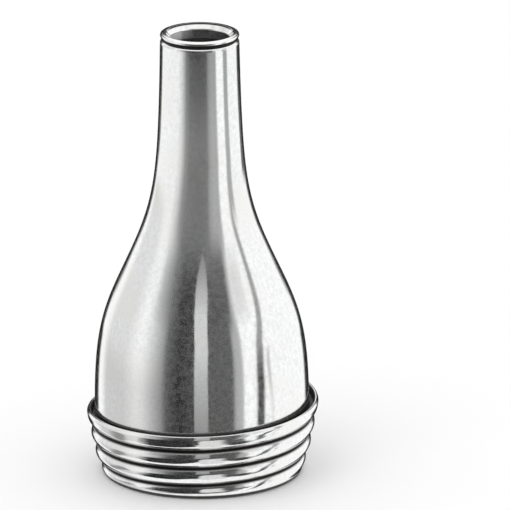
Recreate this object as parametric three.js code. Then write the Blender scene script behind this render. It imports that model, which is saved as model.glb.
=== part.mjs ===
// Ear speculum of plated sheet metal: a spun funnel with a turned ring at its
// small end, soldered into a rolled screw collar at its wide end.
// Millimetres, +Z up. The origin is the centre of the flat base rim, the thread's
// axis is +Z, and the front of the object faces -Y.
import * as THREE from "three";
import { mergeVertices } from "three/addons/utils/BufferGeometryUtils.js";

// ---------------------------------------------------------------- dimensions
const SIDES = 48; // facets round the axis, the same on every piece so that walls nest

// Small end
const TOTAL_HEIGHT = 38.0;
const BORE_R = 2.5; // clear bore of the tip ring, 5 mm across
const TIP_R = 3.29; // outside of the tip ring
const TIP_RING_EDGE_Z = 37.81; // where the ring's bead is widest
const STEM_R = 3.18; // the ring between the neck's end and the bead
const SPIGOT_BOTTOM_Z = 36.5; // how far the ring's spigot reaches down the neck
const SPIGOT_R = 2.885; // outside of that spigot
const NECK_END_Z = 37.49; // upper end of the neck's wall
const NECK_END_BORE_R = 2.91;
const NECK_SHOULDER = 0.35; // rounding of the neck's end

// Funnel wall
const WALL = 0.38;
const JOINT_R = 8.5; // outside of the stepped-in lower end, inside the collar
const JOINT_BOTTOM_Z = 3.85;
const STEP_LOW_Z = 5.26; // the step from the joint up to the full bell
const STEP_HIGH_Z = 5.46;
const BELL_R = 8.97;

// [height, outer radius] of the bell and neck
const BELL_AND_NECK = [
  [STEP_HIGH_Z, BELL_R],
  [7.2, 8.965],
  [9.0, 8.89],
  [10.6, 8.76],
  [12.0, 8.56],
  [13.2, 8.29],
  [14.4, 7.93],
  [15.6, 7.46],
  [17.0, 6.83],
  [18.4, 6.18],
  [19.8, 5.55],
  [21.2, 4.98],
  [22.6, 4.51],
  [24.0, 4.16],
  [25.4, 3.905],
  [27.0, 3.715],
  [29.0, 3.56],
  [32.0, 3.425],
  [34.8, 3.345],
  [37.1, 3.3],
];

// Screw collar: single-start right-hand rounded thread on a narrowing wall
const PITCH = 1.6;
const THREAD_DEPTH = 0.46;
const TOP_ROOT_Z = 4.42; // the groove under the top ridge, at the front
const LIP_Z = 5.85; // the lip's edge, at the front
const COLLAR_WALL = 0.38;
const LIP_CURL = 0.2; // how far the outside turns in at the lip
const LIP_CURL_HEIGHT = 0.36;
const BASE_OUTER_R = 8.2; // flat base rim
const BASE_INNER_R = 7.86;
const LIP_HALF_SPAN = (115 * Math.PI) / 180; // the lip follows the thread this far each side of the front
// [height, crest radius] from the base up
const CRESTS = [
  [0.0, 8.32],
  [0.3, 8.42],
  [0.65, 8.56],
  [1.1, 8.75],
  [1.6, 8.92],
  [3.1, 9.24],
  [4.6, 9.53],
  [6.3, 9.82],
];

// Solder in the pocket between the two
const SOLDER_TOP = 0.52; // below the lip's edge
const SOLDER_BOTTOM = 1.1;
const CLEARANCE = 0.02; // between neighbouring surfaces

// ------------------------------------------------------------------- helpers
const clamp01 = (x) => Math.min(1, Math.max(0, x));
const smooth = (a, b, x) => {
  const t = clamp01((x - a) / (b - a));
  return t * t * (3 - 2 * t);
};

// straight interpolation in a rising [x, y] table
function table(rows, x) {
  if (x <= rows[0][0]) return rows[0][1];
  for (let i = 1; i < rows.length; i++) {
    const [x0, y0] = rows[i - 1],
      [x1, y1] = rows[i];
    if (x <= x1) return y0 + ((y1 - y0) * (x - x0)) / (x1 - x0);
  }
  return rows[rows.length - 1][1];
}

// A closed ring about +Z from rows of [radius, height], each a number or a
// function of the angle. The angle is 0 at the front (-Y) and grows towards +X.
function ring(rows) {
  const loop = [...rows, rows[0]];
  const geometry = new THREE.LatheGeometry(
    loop.map(() => new THREE.Vector2(1, 0)),
    SIDES,
  );
  const p = geometry.getAttribute("position");
  for (let i = 0; i <= SIDES; i++) {
    const turn = ((i % SIDES) * 2 * Math.PI) / SIDES;
    const angle = turn > Math.PI ? turn - 2 * Math.PI : turn;
    loop.forEach((row, j) => {
      const h = typeof row[1] === "function" ? row[1](angle) : row[1];
      const r = typeof row[0] === "function" ? row[0](angle, h) : row[0];
      p.setXYZ(
        i * loop.length + j,
        r * Math.sin(angle),
        h,
        r * Math.cos(angle),
      );
    });
  }
  geometry.deleteAttribute("normal");
  geometry.deleteAttribute("uv");
  geometry.rotateX(Math.PI / 2); // the lathe's own axis, Y, becomes +Z
  const merged = mergeVertices(geometry, 1e-3);
  merged.computeVertexNormals();
  return merged;
}

function piece(name, geometry, color, roughness, metalness) {
  const mesh = new THREE.Mesh(
    geometry,
    new THREE.MeshStandardMaterial({ color, roughness, metalness }),
  );
  mesh.name = name;
  return mesh;
}

// ------------------------------------------------------------- collar shapes
const rootLine = (a) => TOP_ROOT_Z + (PITCH * a) / (2 * Math.PI);

// The lip's edge climbs with the thread round the front and comes down again
// across the back, where the thread's end runs out.
function lipEdge(a) {
  if (Math.abs(a) <= LIP_HALF_SPAN) return LIP_Z + (PITCH * a) / (2 * Math.PI);
  const rise = (PITCH * LIP_HALF_SPAN) / (2 * Math.PI);
  const span = 2 * (Math.PI - LIP_HALF_SPAN);
  const behind = a > 0 ? a : a + 2 * Math.PI;
  const t = (behind - LIP_HALF_SPAN) / span;
  const slope = (PITCH / (2 * Math.PI)) * span;
  const h00 = 2 * t ** 3 - 3 * t ** 2 + 1,
    h10 = t ** 3 - 2 * t ** 2 + t,
    h01 = -2 * t ** 3 + 3 * t ** 2,
    h11 = t ** 3 - t ** 2;
  return (
    h00 * (LIP_Z + rise) + h10 * slope + h01 * (LIP_Z - rise) + h11 * slope
  );
}

// the thread's own surface, before the lip turns in
function threadSurface(a, z) {
  const turns = (z - rootLine(a)) / PITCH;
  const t = turns - Math.floor(turns);
  const groove = 1 - Math.pow(Math.sin(Math.PI * t), 0.9);
  const below = lipEdge(a) - z;
  const depth =
    THREAD_DEPTH * smooth(0.1, 0.75, z) * smooth(0.45, 1.15, below);
  return table(CRESTS, z) - depth * groove;
}

function collarOuter(a, z) {
  const below = lipEdge(a) - z;
  const curl = LIP_CURL * clamp01(1 - below / LIP_CURL_HEIGHT) ** 2;
  return threadSurface(a, z) - curl;
}

const collarInner = (a, z) => threadSurface(a, z) - COLLAR_WALL;

// ------------------------------------------------------------- funnel shapes
const funnelOuter = (z) =>
  z <= STEP_LOW_Z
    ? JOINT_R
    : z < STEP_HIGH_Z
      ? JOINT_R +
        ((BELL_R - JOINT_R) * (z - STEP_LOW_Z)) / (STEP_HIGH_Z - STEP_LOW_Z)
      : table(BELL_AND_NECK, z);

// --------------------------------------------------------------------- parts
const speculum = new THREE.Group();
const CHROME = 0xd4d6d8;

// Funnel: outside from the joint up to the neck's end, then back down inside.
{
  const outside = [
    [JOINT_R - 0.06, JOINT_BOTTOM_Z],
    [JOINT_R, JOINT_BOTTOM_Z + 0.08],
    [JOINT_R, STEP_LOW_Z],
    ...BELL_AND_NECK.map(([z, r]) => [r, z]),
    ...[30, 60, 90].map((deg) => {
      const t = (deg * Math.PI) / 180;
      return [
        3.3 - NECK_SHOULDER * (1 - Math.cos(t)),
        NECK_END_Z - NECK_SHOULDER * (1 - Math.sin(t)),
      ];
    }),
  ];
  const inside = [
    [NECK_END_BORE_R, NECK_END_Z],
    [NECK_END_BORE_R, 37.0],
    ...[34.8, 29, 25.4, 22.6, 19.8, 17, 14.4]
      .map((z) => {
        const slope = (funnelOuter(z + 0.7) - funnelOuter(z - 0.7)) / 1.4;
        return [funnelOuter(z) - WALL * Math.sqrt(1 + slope * slope), z];
      }),
    [8.55 - WALL, 12.0],
    [8.88 - WALL, 9.0],
    [BELL_R - WALL, 7.2],
    [BELL_R - WALL, STEP_HIGH_Z + 0.1],
    [JOINT_R - WALL, STEP_LOW_Z - 0.06],
    [JOINT_R - WALL, JOINT_BOTTOM_Z],
  ];
  speculum.add(
    piece("funnel_shell", ring([...outside, ...inside]), CHROME, 0.12, 1),
  );
}

// Tip ring: a rounded bead over the neck's end, on a stem and a spigot inside
// the neck. Its inner edge is countersunk.
{
  const bead = (deg) => [
    TIP_R - 0.17 + 0.17 * Math.cos((deg * Math.PI) / 180),
    TIP_RING_EDGE_Z + 0.17 * Math.sin((deg * Math.PI) / 180),
  ];
  speculum.add(
    piece(
      "tip_ring",
      ring([
        [BORE_R + 0.12, SPIGOT_BOTTOM_Z],
        [SPIGOT_R, SPIGOT_BOTTOM_Z],
        [SPIGOT_R, NECK_END_Z + 0.03],
        [STEM_R, NECK_END_Z + 0.03],
        [STEM_R, TIP_RING_EDGE_Z - 0.14],
        ...[-50, -10, 30, 80].map(bead),
        [3.03, TOTAL_HEIGHT - 0.01],
        [2.86, TOTAL_HEIGHT],
        [2.81, TOTAL_HEIGHT - 0.02],
        [BORE_R + 0.012, 37.56],
        [BORE_R, 37.46],
        [BORE_R, SPIGOT_BOTTOM_Z + 0.3],
      ]),
      CHROME,
      0.12,
      1,
    ),
  );
}

// Screw collar: outside from the base rim up to the lip, then back down inside.
{
  const level = (k, n) => (a) => 0.16 + ((lipEdge(a) - 0.3 - 0.16) * k) / n;
  const rows = [
    [BASE_OUTER_R, 0],
    [(a, z) => collarOuter(a, z) - 0.02, 0.06],
  ];
  const OUT = 23,
    IN = 14;
  for (let k = 0; k <= OUT; k++) rows.push([collarOuter, level(k, OUT)]);
  rows.push([collarOuter, (a) => lipEdge(a) - 0.16]);
  rows.push([(a, z) => collarOuter(a, z) - 0.01, (a) => lipEdge(a) - 0.06]);
  rows.push([
    (a, z) => (collarOuter(a, z) + collarInner(a, z)) / 2,
    (a) => lipEdge(a),
  ]);
  rows.push([(a, z) => collarInner(a, z) + 0.02, (a) => lipEdge(a) - 0.06]);
  for (let k = IN; k >= 0; k--) rows.push([collarInner, level(k, IN)]);
  rows.push([BASE_INNER_R, 0]);
  speculum.add(piece("screw_collar", ring(rows), CHROME, 0.14, 1));
}

// Solder: fills the pocket between funnel and collar below the open groove.
{
  const at = (share) => (a) =>
    lipEdge(a) - SOLDER_BOTTOM + (SOLDER_BOTTOM - SOLDER_TOP) * share;
  const out = (a, z) => collarInner(a, z) - 4 * CLEARANCE; // clears the collar's flat facets
  const inn = (a, z) => funnelOuter(z + 0.21) + CLEARANCE; // clears the step's corner
  const share = [0, 0.33, 0.67, 1];
  speculum.add(
    piece(
      "solder_ring",
      ring([
        ...share.map((s) => [out, at(s)]),
        [(a, z) => (out(a, z) + inn(a, z)) / 2, (a) => at(1)(a) - 0.04],
        ...share.toReversed().map((s) => [inn, at(s)]),
      ]),
      0x8d8a84,
      0.45,
      1,
    ),
  );
}

export default speculum;
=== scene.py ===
"""Looks of the ear speculum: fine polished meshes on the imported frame, a pale floor and soft studio light.

Lengths below are in millimetres and are turned into metres when a mesh is made.
Angles are measured from the front of the object (-Y) towards its right (+X).
"""

import math

import bpy
import numpy as np
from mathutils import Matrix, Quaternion, Vector


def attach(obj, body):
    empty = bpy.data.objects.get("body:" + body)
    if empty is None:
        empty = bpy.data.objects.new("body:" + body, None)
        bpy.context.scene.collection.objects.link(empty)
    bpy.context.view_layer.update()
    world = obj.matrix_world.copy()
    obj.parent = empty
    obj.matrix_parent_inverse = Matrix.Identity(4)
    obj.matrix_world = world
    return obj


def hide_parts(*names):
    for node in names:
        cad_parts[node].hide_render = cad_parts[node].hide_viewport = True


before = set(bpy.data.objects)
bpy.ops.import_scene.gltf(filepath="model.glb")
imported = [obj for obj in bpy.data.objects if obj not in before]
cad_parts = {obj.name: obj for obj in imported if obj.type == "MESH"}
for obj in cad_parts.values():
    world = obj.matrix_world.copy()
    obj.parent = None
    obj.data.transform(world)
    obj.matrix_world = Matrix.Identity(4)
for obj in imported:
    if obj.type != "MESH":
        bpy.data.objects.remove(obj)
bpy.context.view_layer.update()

MM = 0.001
TAU = 2 * math.pi

# ------------------------------------------------------------ dimensions (mm)
TOTAL_HEIGHT = 38.0
BORE_R = 2.5
TIP_R = 3.29
TIP_RING_EDGE_Z = 37.81
STEM_R = 3.18
SPIGOT_BOTTOM_Z = 36.5
SPIGOT_R = 2.885
NECK_END_Z = 37.49
NECK_END_BORE_R = 2.91
NECK_SHOULDER = 0.35
WALL = 0.38
JOINT_R = 8.5
JOINT_BOTTOM_Z = 3.85
STEP_LOW_Z = 5.26
STEP_HIGH_Z = 5.46
BELL_R = 8.97
BELL_AND_NECK = [
    (5.46, 8.97),
    (7.2, 8.965),
    (9.0, 8.89),
    (10.6, 8.76),
    (12.0, 8.56),
    (13.2, 8.29),
    (14.4, 7.93),
    (15.6, 7.46),
    (17.0, 6.83),
    (18.4, 6.18),
    (19.8, 5.55),
    (21.2, 4.98),
    (22.6, 4.51),
    (24.0, 4.16),
    (25.4, 3.905),
    (27.0, 3.715),
    (29.0, 3.56),
    (32.0, 3.425),
    (34.8, 3.345),
    (37.1, 3.3),
]
PITCH = 1.6
THREAD_DEPTH = 0.46
TOP_ROOT_Z = 4.42
LIP_Z = 5.85
COLLAR_WALL = 0.38
LIP_CURL = 0.2
LIP_CURL_HEIGHT = 0.36
BASE_OUTER_R = 8.2
BASE_INNER_R = 7.86
LIP_HALF_SPAN = math.radians(115)
CRESTS = [
    (0.0, 8.32),
    (0.3, 8.42),
    (0.65, 8.56),
    (1.1, 8.75),
    (1.6, 8.92),
    (3.1, 9.24),
    (4.6, 9.53),
    (6.3, 9.82),
]
SOLDER_TOP = 0.52
SOLDER_BOTTOM = 1.1


# -------------------------------------------------------------------- helpers
def smooth(a, b, x):
    t = np.clip((np.asarray(x, float) - a) / (b - a), 0, 1)
    return t * t * (3 - 2 * t)


def fair_curve(rows, sigma, step=0.02):
    """A table as a very smooth curve: interpolated, then blurred along its length."""
    x = np.array([r[0] for r in rows])
    y = np.array([r[1] for r in rows])
    pad = 4 * sigma
    g = np.arange(x[0] - pad, x[-1] + pad + step, step)
    v = np.interp(g, x, y)
    lo = (y[1] - y[0]) / (x[1] - x[0])
    hi = (y[-1] - y[-2]) / (x[-1] - x[-2])
    v = np.where(g < x[0], y[0] + lo * (g - x[0]), v)
    v = np.where(g > x[-1], y[-1] + hi * (g - x[-1]), v)
    k = np.arange(-4 * sigma, 4 * sigma + step / 2, step)
    w = np.exp(-0.5 * (k / sigma) ** 2)
    w /= w.sum()
    v2 = np.convolve(v, w, mode="same")
    n = len(k) // 2
    return g[n:-n], v2[n:-n]


BELL_G, BELL_V = fair_curve(BELL_AND_NECK, 0.75)
CREST_G, CREST_V = fair_curve(CRESTS, 0.3)


def bell(z):
    return np.interp(z, BELL_G, BELL_V)


def bell_slope(z):
    return (bell(np.asarray(z) + 0.1) - bell(np.asarray(z) - 0.1)) / 0.2


def root_line(a):
    return TOP_ROOT_Z + PITCH * a / TAU


def lip_edge(a):
    """Height of the lip's edge at angles a in (-pi, pi]."""
    a = np.asarray(a, float)
    rise = PITCH * LIP_HALF_SPAN / TAU
    span = 2 * (math.pi - LIP_HALF_SPAN)
    behind = np.where(a > 0, a, a + TAU)
    t = np.clip((behind - LIP_HALF_SPAN) / span, 0, 1)
    slope = PITCH / TAU * span
    back = (
        (2 * t**3 - 3 * t**2 + 1) * (LIP_Z + rise)
        + (t**3 - 2 * t**2 + t) * slope
        + (-2 * t**3 + 3 * t**2) * (LIP_Z - rise)
        + (t**3 - t**2) * slope
    )
    return np.where(np.abs(a) <= LIP_HALF_SPAN, LIP_Z + PITCH * a / TAU, back)


def groove_at(a, z):
    """0 on a ridge's crest, 1 in the root between two ridges, with the depth fading at both ends."""
    turns = (z - root_line(a)) / PITCH
    t = turns - np.floor(turns)
    s = np.sqrt(np.sin(math.pi * t) ** 2 + 0.0016)
    groove = 1 - np.minimum(s, 1) ** 0.9
    below = lip_edge(a) - z
    return groove, smooth(0.1, 0.75, z) * smooth(0.45, 1.15, below)


def collar_outer(a, z):
    groove, fade = groove_at(a, z)
    below = lip_edge(a) - z
    curl = LIP_CURL * np.clip(1 - below / LIP_CURL_HEIGHT, 0, 1) ** 2
    return np.interp(z, CREST_G, CREST_V) - THREAD_DEPTH * fade * groove - curl


def collar_inner(a, z):
    groove, fade = groove_at(a, z)
    return np.interp(z, CREST_G, CREST_V) - THREAD_DEPTH * fade * groove - COLLAR_WALL


def funnel_outer(z):
    z = np.asarray(z, float)
    step = JOINT_R + (BELL_R - JOINT_R) * smooth(STEP_LOW_Z, STEP_HIGH_Z, z)
    return np.where(z < STEP_HIGH_Z, step, bell(z))


def corner(centre, radius, start, end, n):
    """n points of an arc in the (radius, height) plane, angles in degrees from outward, up positive."""
    t = np.radians(np.linspace(start, end, n))
    return [
        (centre[0] + radius * math.cos(x), centre[1] + radius * math.sin(x)) for x in t
    ]


def revolve(name, rows, sides, painted_shade=None, matt=None):
    """A closed ring about +Z. rows are (radius, height), each a number or a function of the angle.
    The function given for the dark share gives, for (a, z, r, k), how much painted shade darkens each vertex, k
    being the row, and matt how dulled it is."""
    n = len(rows)
    a = np.arange(sides) * TAU / sides
    a = np.where(a > math.pi, a - TAU, a)
    co = np.zeros((sides, n, 3))
    shade_share = np.zeros((sides, n))
    dull = np.zeros((sides, n))
    for k, (r, h) in enumerate(rows):
        hh = h(a) if callable(h) else np.full(sides, float(h))
        rr = r(a, hh) if callable(r) else np.full(sides, float(r))
        co[:, k, 0] = rr * np.sin(a)
        co[:, k, 1] = -rr * np.cos(a)
        co[:, k, 2] = hh
        if painted_shade is not None:
            shade_share[:, k] = painted_shade(a, hh, rr, k)
        if matt is not None:
            dull[:, k] = matt(a, hh, rr, k)
    faces = []
    for i in range(sides):
        j = (i + 1) % sides
        for k in range(n):
            m = (k + 1) % n
            faces.append((i * n + k, j * n + k, j * n + m, i * n + m))
    me = bpy.data.meshes.new(name)
    me.from_pydata((co.reshape(-1, 3) * MM).tolist(), [], faces)
    me.update()
    # the painted shade share and the dulling are kept on the vertices
    for attribute, values in (("painted_shade", shade_share), ("matt", dull)):
        at = me.attributes.new(attribute, "FLOAT", "POINT")
        at.data.foreach_set("value", np.clip(values, 0, 1).astype(np.float32).ravel())
    me.polygons.foreach_set("use_smooth", np.ones(len(faces), bool))
    ob = bpy.data.objects.new(name, me)
    bpy.context.scene.collection.objects.link(ob)
    return ob


# ------------------------------------------------------------------ materials
def nodes_of(mat):
    mat.use_nodes = True
    nt = mat.node_tree
    nt.nodes.clear()
    return nt


def add(nt, kind, **values):
    node = nt.nodes.new(kind)
    for key, value in values.items():
        if hasattr(node, key):
            setattr(node, key, value)
        else:
            node.inputs[key.replace("_", " ")].default_value = value
    return node


def plated(name, tone, rough, lines=0.5, mottle=0.5, film=0.04):
    """Polished nickel and chromium plate: fine turning lines, faint haze, and painted shade near black where the
    mesh marks it.
    """
    mat = bpy.data.materials.new(name)
    nt = nodes_of(mat)
    link = nt.links.new
    out = add(nt, "ShaderNodeOutputMaterial")
    bsdf = add(nt, "ShaderNodeBsdfPrincipled")
    link(bsdf.outputs["BSDF"], out.inputs["Surface"])
    coord = add(nt, "ShaderNodeTexCoord")
    painted_shade = add(nt, "ShaderNodeAttribute", attribute_name="painted_shade")

    # haze left by polishing, a few tenths of a millimetre across
    haze = add(nt, "ShaderNodeTexNoise", Scale=2600.0, Detail=5.0, Roughness=0.62)
    link(coord.outputs["Object"], haze.inputs["Vector"])
    # slow cloudiness of old plate
    cloud = add(nt, "ShaderNodeTexNoise", Scale=240.0, Detail=3.0, Roughness=0.5)
    link(coord.outputs["Object"], cloud.inputs["Vector"])
    # turning lines run round the axis, so they change only with height
    squeeze = add(nt, "ShaderNodeMapping")
    squeeze.inputs["Scale"].default_value = (60.0, 60.0, 9000.0)
    link(coord.outputs["Object"], squeeze.inputs["Vector"])
    turning = add(nt, "ShaderNodeTexNoise", Scale=1.0, Detail=3.0, Roughness=0.7)
    link(squeeze.outputs["Vector"], turning.inputs["Vector"])

    def mix(kind, a, b, factor):
        m = add(nt, "ShaderNodeMix", data_type="RGBA", blend_type=kind)
        for socket, value in ((m.inputs[6], a), (m.inputs[7], b)):
            if isinstance(value, tuple):
                socket.default_value = value
            else:
                link(value, socket)
        if isinstance(factor, float):
            m.inputs[0].default_value = factor
        else:
            link(factor, m.inputs[0])
        return m.outputs[2]

    def span(value, lo, hi, a=0.0, b=1.0):
        m = add(nt, "ShaderNodeMapRange")
        link(value, m.inputs["Value"])
        m.inputs["From Min"].default_value = a
        m.inputs["From Max"].default_value = b
        m.inputs["To Min"].default_value = lo
        m.inputs["To Max"].default_value = hi
        return m.outputs["Result"]

    light = tuple(tone) + (1.0,)
    dull = tuple(c * (1 - 0.26 * mottle) for c in tone) + (1.0,)
    base = mix("MIX", light, dull, span(haze.outputs["Fac"], 0.0, 1.0, 0.38, 0.66))
    worn = tuple(c * w for c, w in zip(tone, (0.93, 0.925, 0.9))) + (1.0,)
    base = mix("MIX", base, worn, span(cloud.outputs["Fac"], 0.0, 1.0, 0.45, 0.7))
    # painted shade: near black, and a little rougher, by the share each vertex carries
    base = mix("MIX", base, (0.035, 0.033, 0.03, 1.0), painted_shade.outputs["Fac"])
    link(base, bsdf.inputs["Base Color"])

    r1 = span(haze.outputs["Fac"], rough * 0.7, rough * 1.5, 0.3, 0.7)
    r2 = add(nt, "ShaderNodeMath", operation="MULTIPLY_ADD")
    link(painted_shade.outputs["Fac"], r2.inputs[0])
    r2.inputs[1].default_value = 0.5
    link(r1, r2.inputs[2])
    link(r2.outputs[0], bsdf.inputs["Roughness"])

    # fine scratches and oxide scatter a little light, which shows in dark reflections
    grain = add(nt, "ShaderNodeTexNoise", Scale=2600.0, Detail=3.0, Roughness=0.5)
    link(coord.outputs["Object"], grain.inputs["Vector"])
    # the matt share lowers Metallic; on the tip it is painted light on the bore's left side
    matt = add(nt, "ShaderNodeAttribute", attribute_name="matt")
    bright = add(nt, "ShaderNodeMath", operation="SUBTRACT")
    bright.use_clamp = True
    link(span(grain.outputs["Fac"], 1.0 - 0.08 * film, 1.0 - film, 0.3, 0.72), bright.inputs[0])
    link(matt.outputs["Fac"], bright.inputs[1])
    link(bright.outputs[0], bsdf.inputs["Metallic"])

    bump1 = add(nt, "ShaderNodeBump", Strength=0.35 * lines, Distance=0.000004)
    link(turning.outputs["Fac"], bump1.inputs["Height"])
    bump2 = add(nt, "ShaderNodeBump", Strength=0.5 * mottle, Distance=0.000004)
    link(haze.outputs["Fac"], bump2.inputs["Height"])
    link(bump1.outputs["Normal"], bump2.inputs["Normal"])
    link(bump2.outputs["Normal"], bsdf.inputs["Normal"])
    return mat


def solder_material():
    mat = bpy.data.materials.new("dull_solder")
    nt = nodes_of(mat)
    link = nt.links.new
    out = add(nt, "ShaderNodeOutputMaterial")
    bsdf = add(nt, "ShaderNodeBsdfPrincipled", Metallic=1.0)
    link(bsdf.outputs["BSDF"], out.inputs["Surface"])
    coord = add(nt, "ShaderNodeTexCoord")
    lump = add(nt, "ShaderNodeTexNoise", Scale=1500.0, Detail=4.0, Roughness=0.6)
    link(coord.outputs["Object"], lump.inputs["Vector"])
    ramp = add(nt, "ShaderNodeValToRGB")
    ramp.color_ramp.elements[0].position = 0.3
    ramp.color_ramp.elements[0].color = (0.05, 0.047, 0.043, 1)
    ramp.color_ramp.elements[1].position = 0.75
    ramp.color_ramp.elements[1].color = (0.2, 0.195, 0.185, 1)
    link(lump.outputs["Fac"], ramp.inputs["Fac"])
    link(ramp.outputs["Color"], bsdf.inputs["Base Color"])
    rough = add(nt, "ShaderNodeMapRange")
    link(lump.outputs["Fac"], rough.inputs["Value"])
    rough.inputs["To Min"].default_value = 0.45
    rough.inputs["To Max"].default_value = 0.7
    link(rough.outputs["Result"], bsdf.inputs["Roughness"])
    bump = add(nt, "ShaderNodeBump", Strength=0.6, Distance=0.00003)
    link(lump.outputs["Fac"], bump.inputs["Height"])
    link(bump.outputs["Normal"], bsdf.inputs["Normal"])
    return mat


# --------------------------------------------------------------------- camera
scene = bpy.context.scene
FRAME_PX = 510
MM_PER_PX = 0.08333
ELEVATION = math.radians(17.4)
LENS = 800.0
target_px = (201.0, 251.0)  # where the middle of the axis falls in the picture
cam_data = bpy.data.cameras.new("camera")
cam = bpy.data.objects.new("camera", cam_data)
scene.collection.objects.link(cam)
scene.camera = cam
cam_data.lens = LENS
cam_data.sensor_width = 36.0
cam_data.clip_start = 0.05
cam_data.clip_end = 20.0
distance = FRAME_PX * MM_PER_PX * LENS / 36.0 * MM
back = Vector((0, -math.cos(ELEVATION), math.sin(ELEVATION)))
up = Vector((0, math.sin(ELEVATION), math.cos(ELEVATION)))
right = Vector((1, 0, 0))
middle = Vector((0, 0, TOTAL_HEIGHT / 2 * MM))
aim = (
    middle
    + right * ((FRAME_PX / 2 - target_px[0]) * MM_PER_PX * MM)
    + up * ((target_px[1] - FRAME_PX / 2) * MM_PER_PX * MM)
)
cam.location = aim + back * distance
cam.rotation_mode = "QUATERNION"
cam.rotation_quaternion = (-back).to_track_quat("-Z", "Y")
ROLL = math.radians(0.28)  # the object stands a touch off upright in the picture
cam.rotation_quaternion = cam.rotation_quaternion @ Quaternion((0, 0, 1), -ROLL)

# --------------------------------------------------------------------- pieces
SIDES = 288
chrome = plated("polished_plate", (0.9, 0.905, 0.91), 0.09, mottle=0.5, film=0.08)
collar_chrome = plated("collar_plate", (0.9, 0.905, 0.91), 0.11, lines=0.4, mottle=0.45)
tip_chrome = plated("tip_plate", (0.93, 0.935, 0.94), 0.09, lines=0.4, mottle=0.3)
solder = solder_material()

# funnel, outside from the joint to the neck's end, then back down inside
rows = [
    (JOINT_R - 0.06, JOINT_BOTTOM_Z),
    (JOINT_R, JOINT_BOTTOM_Z + 0.06),
    (JOINT_R, 4.6),
]
rows += [(float(funnel_outer(z)), float(z)) for z in np.linspace(STEP_LOW_Z - 0.05, STEP_HIGH_Z, 9)]
neck_top = NECK_END_Z - NECK_SHOULDER
rows += [(float(bell(z)), float(z)) for z in np.linspace(STEP_HIGH_Z + 0.08, neck_top - 0.03, 170)]
rows += corner((float(bell(neck_top)) - NECK_SHOULDER, neck_top), NECK_SHOULDER, 0, 90, 17)
outside_rows = len(rows)
rows += [(NECK_END_BORE_R, NECK_END_Z - 0.02)]
for z in np.linspace(36.9, STEP_HIGH_Z + 0.5, 90):
    rows.append((float(bell(z) - WALL * math.sqrt(1 + float(bell_slope(z)) ** 2)), float(z)))
rows += [
    (BELL_R - WALL, STEP_HIGH_Z + 0.1),
    (JOINT_R - WALL, STEP_LOW_Z - 0.06),
    (JOINT_R - WALL, JOINT_BOTTOM_Z + 0.04),
    (JOINT_R - WALL + 0.04, JOINT_BOTTOM_Z),
]


def funnel_painted_shade(a, z, r, k):
    # Painted shade: darker inside towards the tip, and a dark line at the neck's end under the bead.
    inside = k >= outside_rows
    if inside:
        return 0.22 + 0.63 * smooth(34.5, 36.2, z)
    low = smooth(0.2, -0.12, z - lip_edge(a))  # painted shade where the wall enters the collar
    high = smooth(NECK_END_Z - 0.03, NECK_END_Z, z)
    # and painted shade along the shoulder at both sides
    sides = smooth(math.radians(22), math.radians(12), np.abs(np.abs(a) - math.radians(90)))
    high = np.maximum(high, sides * smooth(neck_top + 0.02, neck_top + 0.16, z))
    return np.maximum(0.95 * low, 0.95 * high)


funnel = revolve("funnel", rows, SIDES, funnel_painted_shade)

# tip ring: a stem on the spigot, a bead round its outside and a countersunk inner edge
top = TOTAL_HEIGHT
rows = [
    (BORE_R + 0.12, SPIGOT_BOTTOM_Z),
    (SPIGOT_R - 0.03, SPIGOT_BOTTOM_Z),
    (SPIGOT_R, SPIGOT_BOTTOM_Z + 0.03),
    (SPIGOT_R, NECK_END_Z + 0.01),
    (SPIGOT_R + 0.02, NECK_END_Z + 0.03),
    (STEM_R - 0.02, NECK_END_Z + 0.03),
    (STEM_R, NECK_END_Z + 0.05),
    (STEM_R, TIP_RING_EDGE_Z - 0.14),
]
first_visible = len(rows)
rows += corner((TIP_R - 0.17, TIP_RING_EDGE_Z), 0.17, -50, 80, 20)
# the bead slopes up from its edge to a rounded crest
r, z = rows[-1]
for t in np.linspace(0, 1, 14)[1:]:
    step = rows[-1][0] - (r - (r - 2.86) * t)
    z += step * math.tan(math.radians(7 - 5 * (t - 0.5 / 13)))
    rows.append((r - (r - 2.86) * t, z))
crest_start = len(rows)
rows += corner((2.855, z - 0.06), 0.06, 90, 145, 8)
# countersink, 35 degrees off upright, then the bore
r, z = rows[-1]
foot_r = BORE_R + 0.012
crest_end = len(rows)
for t in np.linspace(0, 1, 17)[1:]:
    rows.append((r - (r - foot_r) * t, z - (r - foot_r) * t * math.tan(math.radians(55))))
bead_end = len(rows)
r, z = rows[-1]
rows += [(BORE_R + 0.003, z - 0.035), (BORE_R, z - 0.09)]
rows += [(BORE_R, z) for z in (37.2, 36.9, 36.75)]
rows += [(BORE_R + 0.04, 36.6)]


def tip_painted_shade(a, z, r, k):
    # painted shade: the dark line under the bead, which climbs a little at both sides
    sides = smooth(math.radians(34), math.radians(14), np.abs(np.abs(a) - math.radians(90)))
    edge_z = TIP_RING_EDGE_Z - 0.02 + 0.15 * sides
    under = smooth(edge_z, edge_z - 0.05, z) if k < first_visible + 18 else 0 * z
    bore = smooth(37.53, 37.4, z) if k >= bead_end - 3 else 0 * z
    uneven = 0.26 + 0.2 * np.sin(a)  # painted shade in the bore, more on the right than on the left
    # painted dark reflection along the bead's crest, on its far side only
    behind = smooth(math.radians(95), math.radians(125), np.abs(a))
    edge = {crest_end + 1: 1.0, crest_end + 2: 0.6}.get(k, 1.0 if crest_start + 3 <= k <= crest_end else 0.0)
    # painted shade at the bottom of the bore
    low = 0.9 * smooth(37.0, 36.75, z) if k >= bead_end else 0 * z
    return np.maximum.reduce([1.0 * under, uneven * bore, edge * behind, low])


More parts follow.
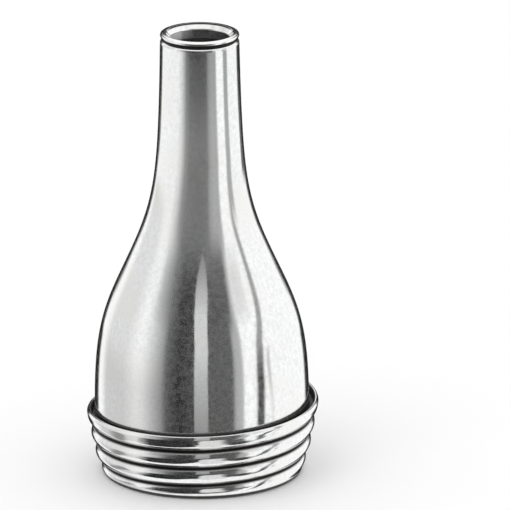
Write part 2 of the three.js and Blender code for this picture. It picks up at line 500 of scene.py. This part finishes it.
def tip_matt_painted_light(a, z, r, k):
    """Painted light: the bore is made matt on its left, so that side shows lighter."""
    bore = smooth(37.55, 37.45, z) if k >= bead_end - 3 else 0 * z
    left = 0.4 * smooth(-math.radians(172), -math.radians(150), a)
    left = left + 0.6 * smooth(-math.radians(149), -math.radians(138), a)
    return 0.97 * bore * left * smooth(-math.radians(15), -math.radians(80), a)


tip = revolve("tip_bead", rows, 240, tip_painted_shade, tip_matt_painted_light)

# screw collar
OUT, IN = 150, 60


def level(k, n, base=0.16, below=0.07):
    return lambda a: base + (lip_edge(a) - below - base) * k / n


rows = [(BASE_OUTER_R - 0.01, 0.0), (BASE_OUTER_R + 0.05, 0.02), (lambda a, z: collar_outer(a, z) - 0.02, 0.08)]
rows += [(collar_outer, level(k, OUT)) for k in range(OUT + 1)]
# the lip's rounded edge spans its wall, 0.07 mm high
LIP_ROUND = 0.07


def lip_round(t):
    def radius(a, z):
        edge = lip_edge(a) - LIP_ROUND
        out, inn = collar_outer(a, edge), collar_inner(a, edge)
        return (out + inn) / 2 + (out - inn) / 2 * math.cos(t)

    return radius, lambda a: lip_edge(a) - LIP_ROUND + LIP_ROUND * math.sin(t)


for t in np.radians(np.linspace(12, 168, 13)):
    rows.append(lip_round(t))
collar_outside = len(rows) - 4
rows += [(collar_inner, level(k, IN)) for k in range(IN, -1, -1)]
rows += [(BASE_INNER_R + 0.03, 0.02), (BASE_INNER_R + 0.06, 0.0)]


def collar_painted_shade(a, z, r, k):
    # Painted shade: near black inside the collar, in the thread's roots and along the foot.
    if k >= collar_outside:
        return 0.85 + 0 * z
    groove, fade = groove_at(a, z)
    root = smooth(0.45, 0.8, groove) * smooth(0.2, 0.7, fade)
    foot = smooth(0.37, 0.27, z)
    return np.maximum(root, 0.95 * foot)


collar = revolve("threaded_collar", rows, 400, collar_painted_shade)

# solder in the pocket
rows = []
levels = np.linspace(0, 1, 9)


def solder_z(s):
    return lambda a: lip_edge(a) - SOLDER_BOTTOM + (SOLDER_BOTTOM - SOLDER_TOP) * s


rows += [(lambda a, z: collar_inner(a, z) - 0.02, solder_z(s)) for s in levels]
for s in (0.25, 0.5, 0.75):
    rows.append(
        (
            lambda a, z, s=s: (collar_inner(a, z) - 0.02) * (1 - s) + (funnel_outer(z) + 0.02) * s,
            lambda a, s=s: solder_z(1)(a) - 0.06 * math.sin(math.pi * s),
        )
    )
rows += [(lambda a, z: funnel_outer(z + 0.06) + 0.02, solder_z(s)) for s in levels[::-1]]
solder_fill = revolve("solder_fillet", rows, SIDES)

for piece, node, slot, mat in (
    (funnel, "funnel_shell", "funnel_plating", chrome),
    (tip, "tip_ring", "tip_plating", tip_chrome),
    (collar, "screw_collar", "collar_plating", collar_chrome),
    (solder_fill, "solder_ring", "solder", solder),
):
    piece.data.materials.append(mat)
    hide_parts(node)
    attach(piece, "root")

# ----------------------------------------------------------------------- stage
floor_mesh = bpy.data.meshes.new("floor")
E = 14.0
floor_mesh.from_pydata([(-E, -E, 0), (E, -E, 0), (E, E, 0), (-E, E, 0)], [], [(0, 1, 2, 3)])
floor = bpy.data.objects.new("floor", floor_mesh)
scene.collection.objects.link(floor)
floor.location.z = -0.00002
mat = bpy.data.materials.new("pale_floor")
nt = nodes_of(mat)
out = add(nt, "ShaderNodeOutputMaterial")
bsdf = add(nt, "ShaderNodeBsdfPrincipled", Roughness=0.8)
bsdf.inputs["Base Color"].default_value = (0.99, 0.99, 0.99, 1)
bsdf.inputs["Specular IOR Level"].default_value = 0.0
nt.links.new(bsdf.outputs["BSDF"], out.inputs["Surface"])
floor_mesh.materials.append(mat)
floor.visible_glossy = False


def math_node(nt, op, a, b=None):
    m = add(nt, "ShaderNodeMath", operation=op)
    for socket, value in zip(m.inputs, (a, b)):
        if value is None:
            continue
        if isinstance(value, (int, float)):
            socket.default_value = value
        else:
            nt.links.new(value, socket)
    return m.outputs[0]


def ramp_node(nt, stops, fac):
    """A linear grey ramp from (position 0 to 1, value) stops."""
    node = add(nt, "ShaderNodeValToRGB")
    cr = node.color_ramp
    while len(cr.elements) > 1:
        cr.elements.remove(cr.elements[-1])
    for i, (pos, value) in enumerate(stops):
        el = cr.elements[0] if i == 0 else cr.elements.new(pos)
        el.position = pos
        el.color = (value, value, value, 1)
    nt.links.new(fac, node.inputs["Fac"])
    return node.outputs["Color"]


def azimuth_ramp(nt, vector, stops, turned=None):
    """Grey by azimuth from the front, from (degrees, value) stops over -180 to 180. turned is a socket of degrees to add."""
    xyz = add(nt, "ShaderNodeSeparateXYZ")
    nt.links.new(vector, xyz.inputs[0])
    azimuth = math_node(nt, "ARCTAN2", xyz.outputs["X"], math_node(nt, "MULTIPLY", xyz.outputs["Y"], -1.0))
    turn = math_node(nt, "ADD", math_node(nt, "DIVIDE", azimuth, TAU), 0.5)
    if turned is not None:
        turn = math_node(nt, "ADD", turn, math_node(nt, "DIVIDE", turned, 360.0))
    return ramp_node(nt, [((d + 180) / 360, v) for d, v in stops], turn)


def height_ramp(nt, vector, stops):
    """Grey by height of a direction, from (degrees above the horizon, value) stops."""
    xyz = add(nt, "ShaderNodeSeparateXYZ")
    nt.links.new(vector, xyz.inputs[0])
    fac = math_node(nt, "ADD", math_node(nt, "MULTIPLY", xyz.outputs["Z"], 0.5), 0.5)
    return ramp_node(nt, [((math.sin(math.radians(d)) + 1) / 2, v) for d, v in stops], fac)


def along_height(nt, z, stops):
    """A number by height, from (millimetres, value) stops, values up to 1."""
    lo, hi = stops[0][0], stops[-1][0]
    fac = math_node(nt, "DIVIDE", math_node(nt, "SUBTRACT", z, lo * MM), (hi - lo) * MM)
    return ramp_node(nt, [((h - lo) / (hi - lo), v) for h, v in stops], fac)


# Small reflector cards, seen only in the polished metal.
def card(name, verts, faces, stops, cover=None, glow=None, twist=None, ends=None):
    """A card in millimetres whose brightness follows the azimuth. By height: cover is how opaque it is,
    glow multiplies its brightness, and twist turns its bands, in degrees. ends is how opaque it is by azimuth."""
    me = bpy.data.meshes.new(name)
    me.from_pydata([tuple(c * MM for c in v) for v in verts], [], faces)
    ob = bpy.data.objects.new(name, me)
    scene.collection.objects.link(ob)
    mat = bpy.data.materials.new(name)
    nt = nodes_of(mat)
    out = add(nt, "ShaderNodeOutputMaterial")
    shine = add(nt, "ShaderNodeEmission")
    coord = add(nt, "ShaderNodeTexCoord")
    xyz = add(nt, "ShaderNodeSeparateXYZ")
    nt.links.new(coord.outputs["Object"], xyz.inputs[0])
    z = xyz.outputs["Z"]
    turned = None
    if twist:
        biggest = max(v for h, v in twist)
        turned = math_node(nt, "MULTIPLY", along_height(nt, z, [(h, v / biggest) for h, v in twist]), biggest)
    nt.links.new(azimuth_ramp(nt, coord.outputs["Object"], stops, turned), shine.inputs["Color"])
    if glow:
        nt.links.new(along_height(nt, z, glow), shine.inputs["Strength"])
    surface = shine.outputs[0]
    if cover or ends:
        veil = add(nt, "ShaderNodeMixShader")
        share = along_height(nt, z, cover) if cover else azimuth_ramp(nt, coord.outputs["Object"], ends)
        nt.links.new(share, veil.inputs[0])
        nt.links.new(add(nt, "ShaderNodeBsdfTransparent").outputs[0], veil.inputs[1])
        nt.links.new(surface, veil.inputs[2])
        surface = veil.outputs[0]
    nt.links.new(surface, out.inputs["Surface"])
    me.materials.append(mat)
    ob.visible_camera = False
    ob.visible_diffuse = False
    ob.visible_shadow = False
    ob.visible_transmission = False
    ob.visible_volume_scatter = False
    return ob


def sector(r0, r1, z0, z1, az0, az1, n):
    """Quads between (r0, z0) and (r1, z1) over a range of azimuth."""
    verts, faces = [], []
    for i in range(n + 1):
        a = math.radians(az0 + (az1 - az0) * i / n)
        verts += [(r * math.sin(a), -r * math.cos(a), z) for r, z in ((r0, z0), (r1, z1))]
        if i:
            faces.append((2 * i - 2, 2 * i - 1, 2 * i + 1, 2 * i))
    return verts, faces


def seen_at(az, own_r, card_r):
    """Azimuth on a card of radius card_r that a wall of radius own_r mirrors in direction az."""
    d = math.radians(az)
    px, py = own_r * math.sin(d / 2), own_r * math.cos(d / 2)
    dot = px * math.sin(d) + py * math.cos(d)
    length = -dot + math.sqrt(dot * dot - own_r**2 + card_r**2)
    return math.degrees(math.atan2(px + length * math.sin(d), py + length * math.cos(d)))


NECK_BANDS = [
    # azimuth in degrees, brightness
    (-180, 0.012),
    (-139, 0.012),
    (-132, 1.05),
    (-75, 1.0),
    (-62, 0.97),
    (-51, 0.7),
    (-39, 0.21),
    (-28, 0.09),
    (-10, 0.06),
    (10, 0.06),
    (18, 0.09),
    (25, 0.28),
    (33, 0.36),
    (45, 0.35),
    (50, 1.1),
    (69, 1.1),
    (72.5, 0.36),
    (83.5, 0.36),
    (87, 1.05),
    (129.5, 1.1),
    (136.5, 0.012),
    (180, 0.012),
]
NECK_CARD_R = 12.0
stops = [(seen_at(d, 3.45, NECK_CARD_R), v) for d, v in NECK_BANDS[1:-1]]
stops = [(-180, 0.012)] + stops + [(180, 0.012)]
card(
    "neck_reflector",
    *sector(NECK_CARD_R, NECK_CARD_R, 23.2, 36.2, -180, 180, 72),
    stops,
    cover=[(23.2, 0), (23.5, 0), (24.5, 1), (36.2, 1)],
    twist=[(23.2, 4), (24.4, 4), (26.5, 0), (36.2, 0)],
)
# a black flag below its back, for the outline where the neck widens
near, far = seen_at(139, 4.1, 12.05), seen_at(146, 4.1, 12.05)
card(
    "shoulder_flag",
    *sector(12.05, 12.05, 17.2, 24.5, near, 360 - near, 40),
    [(-180, 0.012), (-far, 0.012), (-near, 1.1), (near, 1.1), (far, 0.012), (180, 0.012)],
    cover=[(17.2, 0), (20.6, 1), (24.5, 1)],
)
# a sheer white scrim just inside it, which lifts the dark bands round the shoulder
card(
    "scrim",
    *sector(11.8, 11.8, 19.0, 36.2, -130, 130, 52),
    [(-180, 1.0), (180, 1.0)],
    cover=[(19.0, 0), (19.5, 0), (22, 0.025), (23.4, 0.08), (24.5, 0.11), (28, 0.13), (30.8, 0.07), (34.5, 0), (36.2, 0)],
)
# a pale strip in front of the bell, pointed at its top
strip = [
    # height, left edge, right edge
    (4.2, -1.3, 1.15),
    (8.0, -1.33, 1.19),
    (10.3, -1.33, 1.12),
    (14.0, -1.3, 1.3),
    (16.4, -1.45, 1.3),
    (19.3, -1.6, 1.45),
    (22.2, -1.5, 1.85),
    (23.6, -1.1, 1.8),
    (24.3, -0.3, 1.5),
    (24.8, 0.5, 0.9),
]
card(
    "bell_strip",
    [(x, -14, z) for z, x0, x1 in strip for x in (x0, x1)],
    [(2 * i, 2 * i + 1, 2 * i + 3, 2 * i + 2) for i in range(len(strip) - 1)],
    [(-180, 1.0), (180, 1.0)],
    glow=[(4.2, 0.3), (8, 0.44), (14, 0.7), (19, 0.7), (22.2, 0.5), (24.8, 0.2)],
)


def lens(az0, az1, r0, r1, height=0.0, power=3, n=36):
    """A strip on the table between two azimuths, turned up at its far edge and narrowing to both ends."""
    verts, faces = [], []
    for i in range(n + 1):
        u = abs(2 * i / n - 1) ** power
        a = math.radians(az0 + (az1 - az0) * i / n)
        middle = (r0 + r1) / 2
        near, far = r0 + (middle - r0) * u * 0.9, r1 + (middle - r1) * u * 0.9
        for r, z in ((near, 0.02), (far, 0.02), (far, 0.02 + height * (1 - u))):
            verts.append((r * math.sin(a), -r * math.cos(a), z))
        if i:
            k = 3 * i
            faces.append((k - 3, k - 2, k + 1, k))
            if height:
                faces.append((k - 2, k - 1, k + 2, k + 1))
    return verts, faces


# dark and pale cards on the table by the front of the thread
card(
    "thread_dark",
    *lens(-52, -2.4, 9.9, 16, 3.2),
    [(-180, 0.02), (180, 0.02)],
    ends=[(-180, 0), (-52, 0), (-40, 1), (-4.2, 1), (-2.4, 0), (180, 0)],
)
card(
    "thread_pale",
    *lens(-3.2, 19, 9.9, 16, 3.2, 8),
    [(-180, 0.8), (180, 0.8)],
    ends=[(-180, 0), (-3.2, 0), (-1.5, 1), (13, 1), (18, 0), (180, 0)],
)
card(
    "thread_grey",
    *lens(-84, -56, 9.9, 16, 2.2, 2),
    [(-180, 0.3), (180, 0.3)],
    ends=[(-180, 0), (-82, 0), (-74, 1), (-66, 1), (-58, 0), (180, 0)],
)
card(
    "thread_streak",
    *lens(14, 42, 10.5, 17, 0, 2),
    [(-180, 0.06), (180, 0.06)],
    ends=[(-180, 0), (15, 0), (21, 1), (33, 1), (41, 0), (180, 0)],
)

# World: an even pale room for the camera and the floor, and a set of upright
# white and black reflectors for what the polished metal mirrors.
world = bpy.data.worlds.new("studio")
scene.world = world
world.use_nodes = True
nt = world.node_tree
nt.nodes.clear()
link = nt.links.new
out = add(nt, "ShaderNodeOutputWorld")
direction = add(nt, "ShaderNodeTexCoord").outputs["Generated"]
# white on both sides, a grey reflector far left, a slow fall-off into a black panel
# in front, a grey edge to that panel on its right
BANDS = [
    (-180, 1.1),
    (-136, 1.1),
    (-126, 0.84),
    (-94, 0.82),
    (-76, 1.04),
    (-67, 0.96),
    (-45, 0.37),
    (-39, 0.11),
    (-25, 0.02),
    (-15, 0.045),
    (4, 0.035),
    (8, 0.09),
    (34, 0.1),
    (37, 0.44),
    (45, 0.5),
    (47.6, 1.1),
    (180, 1.1),
]
# the same well above the horizon, where the grey edge is wider and paler
HIGH_BANDS = [
    (-180, 1.1),
    (-140, 1.08),
    (-102, 0.78),
    (-80, 1.0),
    (-70, 0.97),
    (-60, 0.5),
    (-42, 0.16),
    (-28, 0.035),
    (4, 0.02),
    (9, 0.09),
    (38, 0.09),
    (43, 0.5),
    (47, 0.86),
    (53, 0.78),
    (64, 0.8),
    (68, 1.05),
    (180, 1.1),
]


def blend(low, high, fac):
    m = add(nt, "ShaderNodeMix", data_type="RGBA")
    link(fac, m.inputs[0])
    for socket, value in ((m.inputs[6], low), (m.inputs[7], high)):
        if isinstance(value, float):
            socket.default_value = (value, value, value, 1)
        else:
            link(value, socket)
    return m.outputs[2]


# upright reflectors round the horizon, with a pale ceiling and a pale table beyond them
bands = azimuth_ramp(nt, direction, BANDS)
# the grey on the left is deeper low down
side = azimuth_ramp(nt, direction, [(-180, 0), (-140, 0), (-125, 0.8), (-70, 0.8), (-55, 1), (-30, 1), (-15, 0), (180, 0)])
deeper = height_ramp(nt, direction, [(-90, 0.24), (-12, 0.24), (-4, 0.06), (6, 0), (90, 0)])
bands = blend(bands, 0.0, math_node(nt, "MULTIPLY", side, deeper))
bands = blend(bands, azimuth_ramp(nt, direction, HIGH_BANDS), height_ramp(nt, direction, [(-90, 0), (16, 0), (27, 1), (90, 1)]))
# a narrow black reflector on the right that leans away with height
lean = math_node(nt, "MULTIPLY", height_ramp(nt, direction, [(-90, 0), (-16, 0), (-10.5, 0.02), (-6, 0), (0, 0.06), (6.5, 0.13), (12.5, 0.36), (17, 0.54), (20, 0.7), (23, 0.85), (90, 0.85)]), -20.0)
rod = azimuth_ramp(nt, direction, [(-180, 0), (61.4, 0), (63, 1), (70.6, 1), (72.2, 0), (180, 0)], lean)
rod_tone = height_ramp(nt, direction, [(-90, 0.05), (-8, 0.05), (0, 0.2), (7, 0.33), (90, 0.36)])
rod = math_node(nt, "MULTIPLY", rod, height_ramp(nt, direction, [(-90, 1), (30, 1), (34, 0), (90, 0)]))
bands = blend(bands, rod_tone, rod)
# and the edge of a white reflector beyond it, a faint line
lean = math_node(nt, "MULTIPLY", height_ramp(nt, direction, [(-90, 0.9), (-15.5, 0.9), (-10.5, 0.25), (-4, 0), (2, 0.4), (4, 0.8), (90, 0.8)]), -5.0)
seam = azimuth_ramp(nt, direction, [(-180, 0), (75.2, 0), (76.8, 1), (79.2, 1), (80.8, 0), (180, 0)], lean)
seam = math_node(nt, "MULTIPLY", seam, height_ramp(nt, direction, [(-90, 0.45), (-16, 0.45), (-13, 0.6), (-10, 1), (-3, 1), (1, 0.8), (4, 0), (90, 0)]))
bands = blend(bands, 0.6, seam)
reach = height_ramp(nt, direction, [(-90, 0), (-52, 0), (-38, 1), (42, 1), (49, 0), (90, 0)])
seen = blend(1.05, bands, reach)
# low black flags behind the object, which darken its outline, narrower where the bell's shoulder mirrors them
waist = height_ramp(nt, direction, [(-90, 0), (-11.6, 0), (-10.4, 1), (-5.5, 1), (-3.5, 0), (90, 0)])
flags = azimuth_ramp(nt, direction, [(-180, 1), (-154, 1), (-146, 0), (146, 0), (154, 1), (180, 1)])
narrow = azimuth_ramp(nt, direction, [(-180, 1), (-158, 1), (-150, 0), (150, 0), (158, 1), (180, 1)])
flags = blend(flags, narrow, waist)
low = height_ramp(nt, direction, [(-90, 0), (-60, 0), (-45, 1), (18, 1), (19.6, 0), (90, 0)])
seen = blend(seen, 0.012, math_node(nt, "MULTIPLY", flags, low))
# and taller ones to both sides of them, for the edges that look upwards
flags = azimuth_ramp(nt, direction, [(-180, 0), (-174, 0), (-169, 1), (-152, 1), (-146, 0), (146, 0), (152, 1), (169, 1), (174, 0), (180, 0)])
narrow = azimuth_ramp(nt, direction, [(-180, 0), (-174, 0), (-169, 1), (-156, 1), (-150, 0), (150, 0), (156, 1), (169, 1), (174, 0), (180, 0)])
flags = blend(flags, narrow, waist)
low = height_ramp(nt, direction, [(-90, 0), (-60, 0), (-45, 1), (30, 1), (36, 0), (90, 0)])
seen = blend(seen, 0.012, math_node(nt, "MULTIPLY", flags, low))

path = add(nt, "ShaderNodeLightPath")
mirror = add(nt, "ShaderNodeBackground")
link(seen, mirror.inputs["Color"])
room = add(nt, "ShaderNodeBackground")
room.inputs["Color"].default_value = (0.965, 0.965, 0.965, 1)
room.inputs["Strength"].default_value = 1.0
pick = add(nt, "ShaderNodeMixShader")
link(path.outputs["Is Glossy Ray"], pick.inputs[0])
link(room.outputs[0], pick.inputs[1])
link(mirror.outputs[0], pick.inputs[2])
link(pick.outputs[0], out.inputs["Surface"])

# soft key light from above left, mostly for the shadow at the foot
key_data = bpy.data.lights.new("key", "AREA")
key_data.shape = "DISK"
key_data.size = 0.35
key_data.energy = 0.35
key = bpy.data.objects.new("key", key_data)
scene.collection.objects.link(key)
key.location = (-0.22, -0.25, 0.5)
key.rotation_mode = "QUATERNION"
key.rotation_quaternion = (middle - key.location).to_track_quat("-Z", "Y")
key.visible_glossy = False

scene.view_settings.view_transform = "Standard"
scene.view_settings.look = "None"
scene.cycles.max_bounces = 12
scene.cycles.glossy_bounces = 8
scene.cycles.caustics_reflective = True
